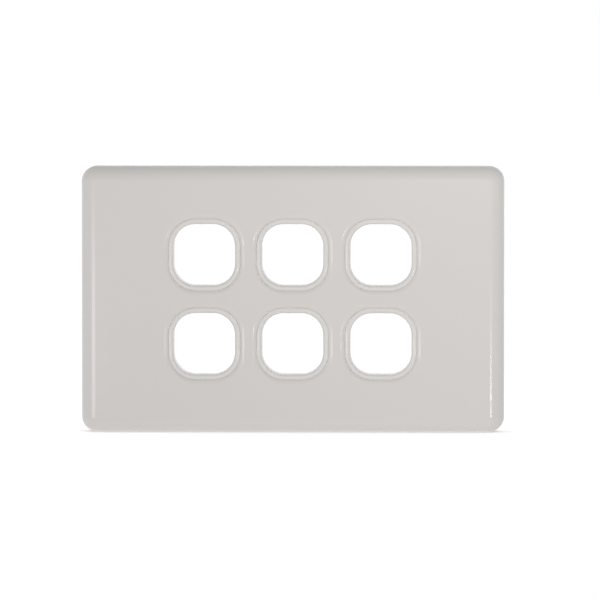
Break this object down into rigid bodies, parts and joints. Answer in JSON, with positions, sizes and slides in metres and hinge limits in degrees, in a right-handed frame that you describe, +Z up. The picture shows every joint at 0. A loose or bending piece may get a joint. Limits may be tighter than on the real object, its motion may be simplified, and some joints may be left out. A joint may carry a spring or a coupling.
{
  "type": "grid switch plate",
  "caption": "Wide wall plate for light switches: a moulded grid with snap-in bays and collared, round-cornered apertures, and a clip-on cover with rounded edges that hides the fixing screws.",
  "frame": {"origin": "in the plane of the wall, midway between the two fixing slots", "axes": "+X to the right along the plate as seen from the room, +Y into the wall, +Z up"},
  "size_m": [0.116, 0.0133, 0.073],
  "materials": {
    "cover": "gloss moulded",
    "grid": "gloss moulded"
  },
  "bodies": {
    "root": {"cover_plate": "cover", "grid_plate": "grid"}
  },
  "joints": []
}
